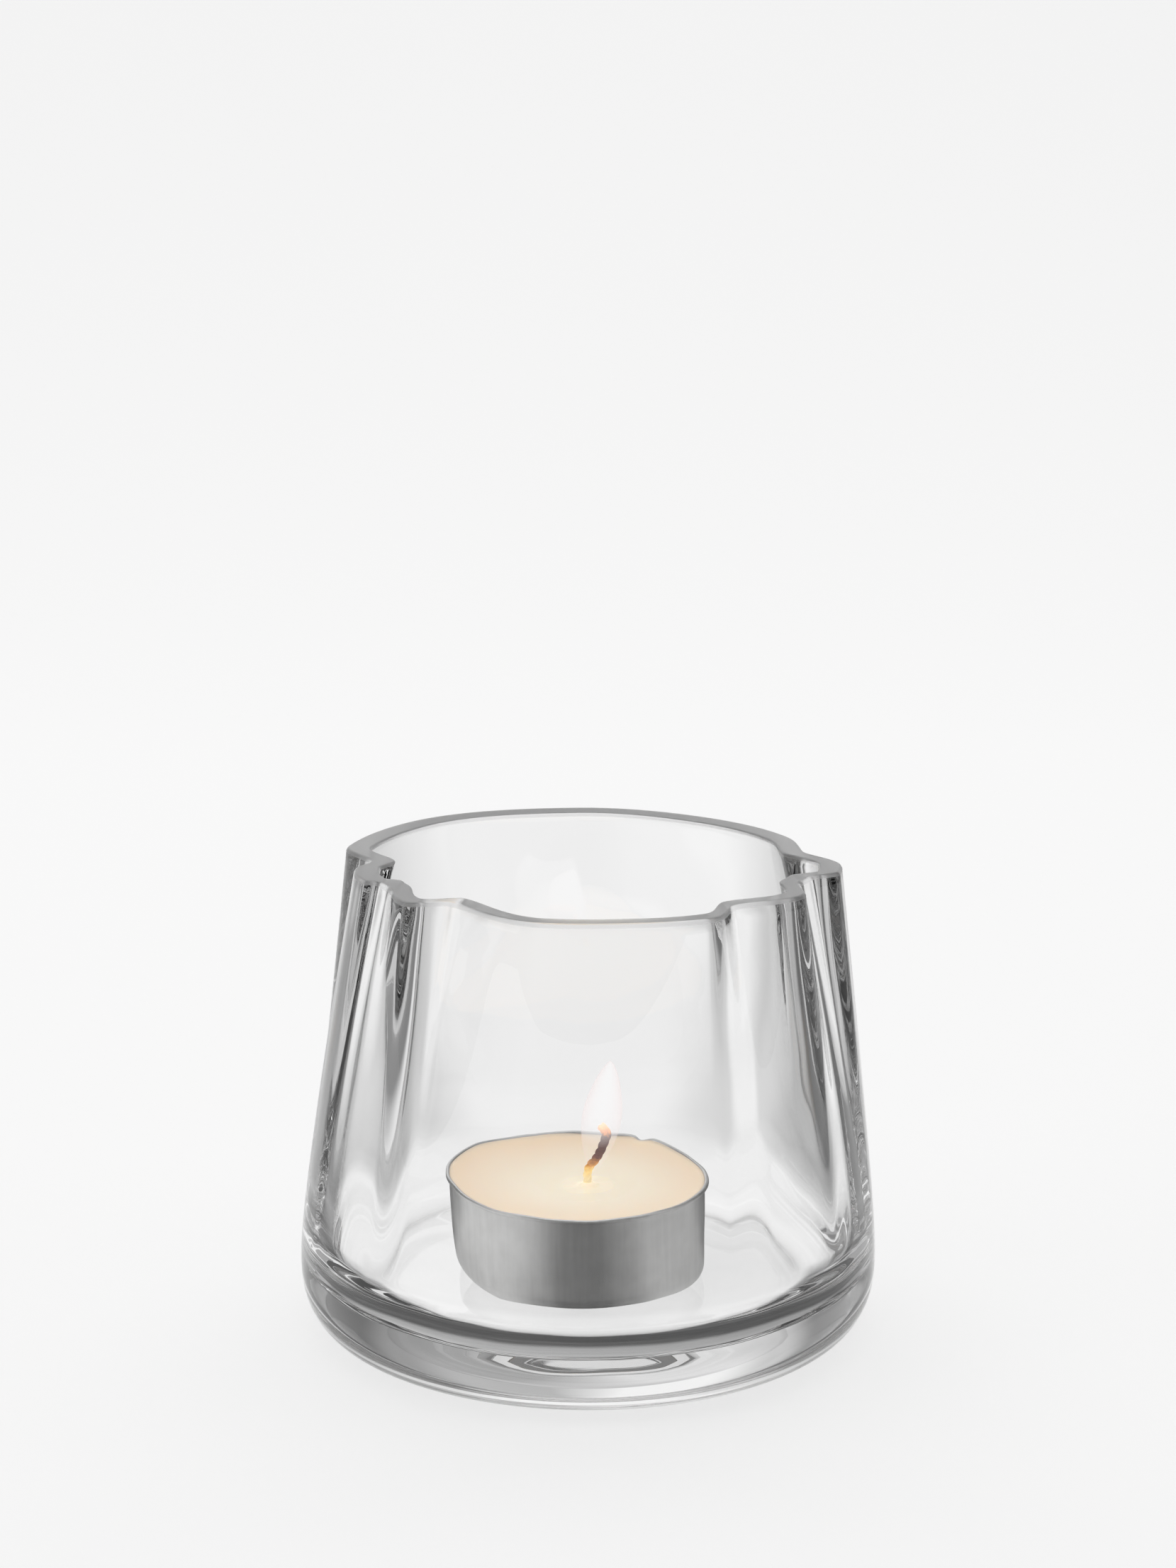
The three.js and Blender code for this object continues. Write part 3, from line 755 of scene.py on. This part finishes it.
# %% The wick's braid
tree, given = new_tree("braided_wick", [
    ("Path", "Object"), ("Strands", "Int"), ("Steps", "Int"), ("Orbit", "Float"),
    ("Strand Radius", "Float"), ("Pitch", "Float"), ("Finish", "Material")])
path = add_node(tree, "GeometryNodeObjectInfo", {"Object": given["Path"]})
even = add_node(tree, "GeometryNodeResampleCurve", {
    "Curve": path.outputs["Geometry"], "Count": given["Steps"]})
copies = add_node(tree, "GeometryNodeDuplicateElements", {
    "Geometry": even.outputs[0], "Amount": given["Strands"]}, domain="SPLINE")
along = add_node(tree, "GeometryNodeSplineParameter").outputs
winds = add_node(tree, "ShaderNodeMath", {0: along["Length"], 1: given["Pitch"]},
                 operation="DIVIDE").outputs[0]
share = add_node(tree, "ShaderNodeMath", {
    0: copies.outputs["Duplicate Index"], 1: given["Strands"]}, operation="DIVIDE").outputs[0]
winds = add_node(tree, "ShaderNodeMath", {0: winds, 1: share}, operation="ADD").outputs[0]
angle = add_node(tree, "ShaderNodeMath", {0: winds, 1: TURN}, operation="MULTIPLY").outputs[0]
across = add_node(tree, "GeometryNodeInputNormal").outputs[0]
ahead = add_node(tree, "GeometryNodeInputTangent").outputs[0]
third = add_node(tree, "ShaderNodeVectorMath", {0: ahead, 1: across}, operation="CROSS_PRODUCT")
one = add_node(tree, "ShaderNodeMath", {0: angle}, operation="COSINE").outputs[0]
other = add_node(tree, "ShaderNodeMath", {0: angle}, operation="SINE").outputs[0]
one = add_node(tree, "ShaderNodeVectorMath", {0: across, "Scale": one}, operation="SCALE")
other = add_node(tree, "ShaderNodeVectorMath", {0: third.outputs[0], "Scale": other},
                 operation="SCALE")
round_path = add_node(tree, "ShaderNodeVectorMath", {0: one.outputs[0], 1: other.outputs[0]},
                      operation="ADD")
orbit = add_node(tree, "ShaderNodeVectorMath", {
    0: round_path.outputs[0], "Scale": given["Orbit"]}, operation="SCALE")
wound = add_node(tree, "GeometryNodeSetPosition", {
    "Geometry": copies.outputs[0], "Offset": orbit.outputs[0]})
thin = add_node(tree, "ShaderNodeMapRange", {
    "Value": along["Factor"], "From Min": 0.86, "From Max": 1.0, "To Min": 1.0, "To Max": 0.62})
thinned = add_node(tree, "GeometryNodeSetCurveRadius", {
    "Curve": wound.outputs[0], "Radius": thin.outputs[0]})
circle = add_node(tree, "GeometryNodeCurvePrimitiveCircle", {
    "Resolution": 12, "Radius": given["Strand Radius"]})
swept = add_node(tree, "GeometryNodeCurveToMesh", {
    "Curve": thinned.outputs[0], "Profile Curve": circle.outputs[0], "Fill Caps": True})
smooth = add_node(tree, "GeometryNodeSetShadeSmooth", {0: swept.outputs[0]})
solid = add_node(tree, "GeometryNodeRealizeInstances", {0: smooth.outputs[0]})
finished = add_node(tree, "GeometryNodeSetMaterial", {
    "Geometry": solid.outputs[0], "Material": given["Finish"]})
add_node(tree, "NodeGroupOutput", {0: finished.outputs[0]})
print("nodes in the braid's tree:", len(tree.nodes))

# %% The wick's path, as steps to the right and heights, swept into a braid
level = FLOOR_HEIGHT + 14.0 * MM
WICK_ROUTE = [(0, wick_low[2]), (0, wick_low[2] + 6 * MM), (0, level),
              (0.1 * MM, level + 2.3 * MM), (1.4 * MM, level + 4.2 * MM),
              (2.4 * MM, level + 6.2 * MM), (2.8 * MM, level + 7.9 * MM),
              (2.1 * MM, level + 8.7 * MM)]
route = bpy.data.curves.new("wick_path", "CURVE")
route.dimensions = "3D"
spline = route.splines.new("BEZIER")
spline.bezier_points.add(len(WICK_ROUTE) - 1)
for point, (dx, z) in zip(spline.bezier_points, WICK_ROUTE):
    point.co = (WICK_X + dx, WICK_Y, z)
    point.handle_left_type = "AUTO"
    point.handle_right_type = "AUTO"
spline.resolution_u = 24
route_object = bpy.data.objects.new("wick_path", route)
bpy.context.scene.collection.objects.link(route_object)
wick = piece_from_tree("braided_wick", tree, {
    "Path": route_object, "Strands": 3, "Steps": 240, "Orbit": 0.31 * MM,
    "Strand Radius": 0.36 * MM, "Pitch": 3.2 * MM, "Finish": charred_cotton})
bpy.data.objects.remove(route_object)
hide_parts("wick")
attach(wick, "candle")

# %% [markdown]
# A flame is glowing gas and soot, a drop that leans a little. A see-through shell is
# enough for it: its foot lets what is behind through, so the wick shows, and higher up
# a near-white glow takes over. Only a faint warm skin marks its edge.

# %% Finish: candle flame
candle_flame, tree, spare = new_material("candle_flame_glow")
tree.nodes.remove(spare)
FLAME_FOOT = level + 2.0 * MM
FLAME_TIP = level + 18.6 * MM
GLOW_FROM = 4.5 * MM
GLOW_WHOLE = 9 * MM
where = add_node(tree, "ShaderNodeTexCoord").outputs["Object"]
height = add_node(tree, "ShaderNodeSeparateXYZ", {0: where}).outputs["Z"]
rise = add_node(tree, "ShaderNodeMapRange", {
    "Value": height, "From Min": FLAME_FOOT + GLOW_FROM, "From Max": FLAME_FOOT + GLOW_WHOLE,
    "To Min": 0.04, "To Max": 0.9})
rim = add_node(tree, "ShaderNodeLayerWeight", {"Blend": 0.35}).outputs["Facing"]
inward = add_node(tree, "ShaderNodeMath", {0: 1.0, 1: rim}, operation="SUBTRACT")
body_glow = add_node(tree, "ShaderNodeMath", {0: inward.outputs[0], 1: rise.outputs[0]},
                     operation="MULTIPLY")
skin = add_node(tree, "ShaderNodeMath", {0: rim, 1: 0.16}, operation="MULTIPLY")
body_glow = add_node(tree, "ShaderNodeMath", {0: body_glow.outputs[0], 1: skin.outputs[0]},
                     operation="ADD")
tint = add_node(tree, "ShaderNodeValToRGB", {"Fac": rim})
fill_ramp(tint, [(0.0, "FFFFFF"), (1.0, "FFECEA")])
gas = add_node(tree, "ShaderNodeBsdfTransparent")
light = add_node(tree, "ShaderNodeEmission", {"Color": tint.outputs["Color"], "Strength": 0.97})
mixed = add_node(tree, "ShaderNodeMixShader", {
    0: body_glow.outputs[0], 1: gas.outputs[0], 2: light.outputs[0]})
tree.links.new(mixed.outputs[0], tree.nodes["Material Output"].inputs["Surface"])
print("flame height mm:", round((FLAME_TIP - FLAME_FOOT) / MM, 1))

# %% The flame, a leaning drop
FLAME_RADIUS = 2.85 * MM
FLAME_POINTEDNESS = 0.75
FLAME_STEPS = 48
LEAN_AT_FOOT = 0.95 * MM
LEAN_AT_MIDDLE = 2.1 * MM
LEAN_AT_TIP = 3.2 * MM


def flame_lean(part):
    if part < 0.5:
        return LEAN_AT_FOOT + (LEAN_AT_MIDDLE - LEAN_AT_FOOT) * part * 2
    return LEAN_AT_MIDDLE + (LEAN_AT_TIP - LEAN_AT_MIDDLE) * (part - 0.5) * 2


def flame_radius(part):
    return FLAME_RADIUS * (4 * part * (1 - part)) ** FLAME_POINTEDNESS


flame_rows = [(0.0, FLAME_FOOT)]
for i in range(1, FLAME_STEPS):
    part = i / FLAME_STEPS
    flame_rows.append((flame_radius(part), FLAME_FOOT + (FLAME_TIP - FLAME_FOOT) * part))
flame_rows.append((0.0, FLAME_TIP))
flame = turned_piece("flame", flame_rows, 64, candle_flame, None, (WICK_X, WICK_Y))
for vertex in flame.data.vertices:
    vertex.co.x += flame_lean((vertex.co.z - FLAME_FOOT) / (FLAME_TIP - FLAME_FOOT))
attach(flame, "candle")

# %% [markdown]
# The studio is plain: a pale table that runs back and curves up, a broad soft light on
# each side and one above. The table lies a tenth of a millimetre under the glass, so
# that the foot always meets air first and no two faces lie in one plane.

# %% The table and its sweep
TABLE_HALF_WIDTH = 2.2
TABLE_FRONT = -1.6
TABLE_BACK = 1.2
SWEEP = 0.8
WALL_TOP = 2.6
TABLE_GAP = 0.1 * MM
table_line = [(TABLE_FRONT, 0.0), (TABLE_BACK - SWEEP, 0.0)]
table_line += [(TABLE_BACK - SWEEP + SWEEP * math.sin(i / 16 * math.pi / 2),
                SWEEP - SWEEP * math.cos(i / 16 * math.pi / 2)) for i in range(1, 17)]
table_line.append((TABLE_BACK, WALL_TOP))

spots = [(side * TABLE_HALF_WIDTH, y, z - TABLE_GAP) for y, z in table_line for side in (-1, 1)]
strips = [(2 * i, 2 * i + 1, 2 * i + 3, 2 * i + 2) for i in range(len(table_line) - 1)]
table_mesh = bpy.data.meshes.new("table_sweep")
table_mesh.from_pydata(spots, [], strips)
for face in table_mesh.polygons:
    face.use_smooth = True
table = bpy.data.objects.new("table_sweep", table_mesh)
bpy.context.scene.collection.objects.link(table)
print("table runs from", TABLE_FRONT, "to", TABLE_BACK)

# %% [markdown]
# Clear glass shows only what stands round it. In an all-white room it would hardly show,
# so its light and dark have to come from somewhere: a studio would stand black and white
# boards round it. Here the table's own card carries them. The Light Path node tells how
# a ray came to it. A plain look meets pale matt card. A ray that has passed through
# glass meets a soft pattern instead, laid out by how far the spot is from the glass and
# on which side of it. A ray the glass has mirrored inwards has a stronger pattern, darker
# the more often it was mirrored, and darker on the right.

# %% Finish: pale matt card, and where a spot on it lies
pale_card, tree, card = new_material("pale_matt_card")
card.inputs["Base Color"].default_value = linear("A6A6A6")
card.inputs["Roughness"].default_value = 0.9
card.inputs["Specular IOR Level"].default_value = 0.0
card.inputs["Emission Color"].default_value = linear("FFFFFF")
card.inputs["Emission Strength"].default_value = 0.7
seen = add_node(tree, "ShaderNodeLightPath").outputs
where = add_node(tree, "ShaderNodeTexCoord").outputs["Object"]
level_spot = add_node(tree, "ShaderNodeVectorMath", {0: where, 1: (1, 1, 0)},
                      operation="MULTIPLY").outputs[0]
far = add_node(tree, "ShaderNodeVectorMath", {0: level_spot}, operation="LENGTH").outputs["Value"]
spot = add_node(tree, "ShaderNodeSeparateXYZ", {0: where}).outputs
across = add_node(tree, "ShaderNodeMath", {0: spot["X"]}, operation="ABSOLUTE").outputs[0]
bearing = add_node(tree, "ShaderNodeMath", {0: across, 1: spot["Y"]},
                   operation="ARCTAN2").outputs[0]
table_mesh.materials.append(pale_card)
print("card roughness:", round(card.inputs["Roughness"].default_value, 2))

# %% The pattern's shades
# ROUND lists go by degrees from straight behind the glass, the OUT list by millimetres.
BOUNCED_ROUND = [(0, 1.0), (15, 1.0), (28, 0.6), (40, 0.2), (70, 0.22), (82, 0.85),
                 (96, 0.85), (106, 0.08), (135, 0.08), (150, 0.3), (180, 0.15)]
BOUNCED_OUT = [(0, 0.9), (20, 0.95), (34, 0.5), (37, 0.08), (41, 0.08), (46, 0.9),
               (50, 0.95), (57, 0.03), (70, 0.05), (88, 1.0), (100, 1.0)]
STRAIGHT_ROUND = [(0, 1.0), (8, 1.0), (20, 0.75), (45, 0.45), (80, 0.5), (90, 0.6),
                  (180, 0.6)]
FROM_INSIDE_ROUND = [(0, 1.0), (22, 1.0), (40, 0.15), (60, 0.15), (74, 1.0), (130, 1.0),
                     (152, 0.45), (168, 0.16), (180, 0.14)]
# Painted shadow on the table round the foot, seen only through the glass: darkest on either side
# towards the front.
FOOT_SHADOW_ROUND = [(0, 1.0), (80, 1.0), (100, 0.25), (140, 0.3), (165, 1.0), (180, 1.0)]


def shade_ramp(value, longest, stops):
    """Shades along a value; the stops run from nothing to the longest value."""
    part = add_node(tree, "ShaderNodeMapRange", {"Value": value, "From Max": longest})
    ramp = add_node(tree, "ShaderNodeValToRGB", {"Fac": part.outputs[0]})
    ramp.color_ramp.interpolation = "EASE"
    last = stops[-1][0]
    fill_ramp(ramp, [(position / last, shade) for position, shade in stops])
    return ramp.outputs["Color"]


def shade_round(stops, shows):
    """Shades by bearing where they show, and white where they don't."""
    shades = shade_ramp(bearing, math.pi, stops)
    return add_node(tree, "ShaderNodeMix", {"Factor": shows, "A": 1.0, "B": shades}).outputs[0]


print("shades for a mirrored ray, by bearing:", len(BOUNCED_ROUND))

# %% What a ray meets that went straight through, and the painted shadow round the foot
clear_of_glass = add_node(tree, "ShaderNodeMapRange", {
    "Value": far, "From Min": 60 * MM, "From Max": 90 * MM}).outputs[0]
# The painted shadow round the foot lies in a ring from 36 to 60 mm out.
past_foot = add_node(tree, "ShaderNodeMapRange", {
    "Value": far, "From Min": 36 * MM, "From Max": 40 * MM}).outputs[0]
near_foot = add_node(tree, "ShaderNodeMapRange", {
    "Value": far, "From Min": 52 * MM, "From Max": 60 * MM, "To Min": 1.0,
    "To Max": 0.0}).outputs[0]
foot_shadow_ring = add_node(tree, "ShaderNodeMath", {0: past_foot, 1: near_foot},
                      operation="MULTIPLY").outputs[0]
straight = add_node(tree, "ShaderNodeMath", {
    0: shade_round(STRAIGHT_ROUND, clear_of_glass), 1: shade_round(FOOT_SHADOW_ROUND, foot_shadow_ring)},
    operation="MULTIPLY").outputs[0]
print("the foot's shades lie between 36 and 60 mm out")

# %% What a mirrored ray meets
OUT_REACH = BOUNCED_OUT[-1][0] * MM
bounced = add_node(tree, "ShaderNodeMath", {
    0: shade_round(BOUNCED_ROUND, clear_of_glass), 1: shade_ramp(far, OUT_REACH, BOUNCED_OUT)},
    operation="MULTIPLY").outputs[0]
from_inside = add_node(tree, "ShaderNodeMapRange", {
    "Value": seen["Transmission Depth"], "From Min": 3.0, "From Max": 4.0}).outputs[0]
bounced = add_node(tree, "ShaderNodeMix", {
    "Factor": from_inside, "A": bounced,
    "B": shade_ramp(bearing, math.pi, FROM_INSIDE_ROUND)}).outputs[0]
often = add_node(tree, "ShaderNodeMapRange", {
    "Value": seen["Glossy Depth"], "From Min": 1.5, "From Max": 3.8, "To Min": 1.0,
    "To Max": 0.06}).outputs[0]
right_side = add_node(tree, "ShaderNodeMapRange", {
    "Value": spot["X"], "From Min": -80 * MM, "From Max": 80 * MM, "To Min": 1.0,
    "To Max": 0.5}).outputs[0]
for darker in (often, right_side):
    bounced = add_node(tree, "ShaderNodeMath", {0: bounced, 1: darker},
                       operation="MULTIPLY").outputs[0]
has_bounced = add_node(tree, "ShaderNodeMath", {0: seen["Glossy Depth"], 1: 1.0},
                       operation="MINIMUM").outputs[0]
shade = add_node(tree, "ShaderNodeMix", {
    "Factor": has_bounced, "A": straight, "B": bounced}).outputs[0]
bent_look = add_node(tree, "ShaderNodeEmission", {"Color": shade, "Strength": 0.92})
look = add_node(tree, "ShaderNodeMixShader", {
    0: seen["Is Transmission Ray"], 1: card.outputs[0], 2: bent_look.outputs[0]})
tree.links.new(look.outputs[0], tree.nodes["Material Output"].inputs["Surface"])
print("nodes in the card:", len(tree.nodes))


# %% The lights
def soft_light(name, place, aim, width, height, watts):
    lamp = bpy.data.lights.new(name, "AREA")
    lamp.shape = "RECTANGLE"
    lamp.size = width
    lamp.size_y = height
    lamp.energy = watts
    light = bpy.data.objects.new(name, lamp)
    light.location = place
    light.rotation_euler = (Vector(aim) - Vector(place)).to_track_quat("-Z", "Y").to_euler()
    bpy.context.scene.collection.objects.link(light)
    print(name, "watts:", watts)


soft_light("left_softbox", (-1.1, -0.25, 0.7), (0, 0, 0.03), 0.9, 1.3, 2.4)
soft_light("right_softbox", (1.2, -0.1, 0.7), (0, 0, 0.03), 0.7, 1.2, 1.4)
soft_light("top_softbox", (0, 0.15, 1.0), (0, 0, 0), 1.2, 1.2, 2.8)

# %% [markdown]
# The room follows the same thought. It is white to a plain look, and to rays that pass
# through the glass near level, and dim to the rest, which leaves the glass its edges.
# Light goes round many times inside thick glass before it gets out. A ray that is
# stopped early comes back black, so the limits on its turns are raised.

# %% The room
ROOM_DIM = 0.16
ROOM_WHITE = 0.92
world = bpy.data.worlds.new("dim_room")
bpy.context.scene.world = world
world.use_nodes = True
room = world.node_tree
seen = add_node(room, "ShaderNodeLightPath").outputs
looking = add_node(room, "ShaderNodeTexCoord").outputs["Generated"]
climb = add_node(room, "ShaderNodeSeparateXYZ", {0: looking}).outputs["Z"]
near_level = add_node(room, "ShaderNodeMapRange", {
    "Value": climb, "From Min": 0.35, "From Max": 0.75, "To Min": 1.0, "To Max": 0.0})
not_mirrored = add_node(room, "ShaderNodeMapRange", {
    "Value": seen["Glossy Depth"], "To Min": 1.0, "To Max": 0.2})
bright = add_node(room, "ShaderNodeMath", {
    0: not_mirrored.outputs[0], 1: near_level.outputs[0]}, operation="MULTIPLY")
through = add_node(room, "ShaderNodeMath", {
    0: seen["Is Transmission Ray"], 1: bright.outputs[0]}, operation="MULTIPLY")
bright = add_node(room, "ShaderNodeMath", {
    0: seen["Is Camera Ray"], 1: through.outputs[0]}, operation="MAXIMUM")
strength = add_node(room, "ShaderNodeMapRange", {
    "Value": bright.outputs[0], "To Min": ROOM_DIM, "To Max": ROOM_WHITE})
room.links.new(strength.outputs[0], room.nodes["Background"].inputs["Strength"])
room.nodes["Background"].inputs["Color"].default_value = linear("FFFFFF")
bpy.context.scene.view_settings.view_transform = "Standard"
paths = bpy.context.scene.cycles
paths.max_bounces = paths.glossy_bounces = paths.transmission_bounces = 32
print("turns a ray may take inside the glass:", paths.glossy_bounces)

# %% [markdown]
# The camera stands close in front, a little above the rim, and looks down by about
# twelve and a half degrees. The long lens keeps the upright sides nearly straight.

# %% The camera
CAMERA_BACK = 439.2 * MM
CAMERA_HEIGHT = 179.3 * MM
CAMERA_TILT = 0.2198
camera_data = bpy.data.cameras.new("camera")
camera_data.sensor_width = 36.0
camera_data.lens = 71.11
camera_data.clip_start = 0.01
camera_data.clip_end = 20
camera = bpy.data.objects.new("camera", camera_data)
camera.location = (0, -CAMERA_BACK, CAMERA_HEIGHT)
camera.rotation_euler = (math.pi / 2 - CAMERA_TILT, 0, 0)
bpy.context.scene.collection.objects.link(camera)
bpy.context.scene.camera = camera
print("camera tilt degrees:", round(math.degrees(CAMERA_TILT), 2))
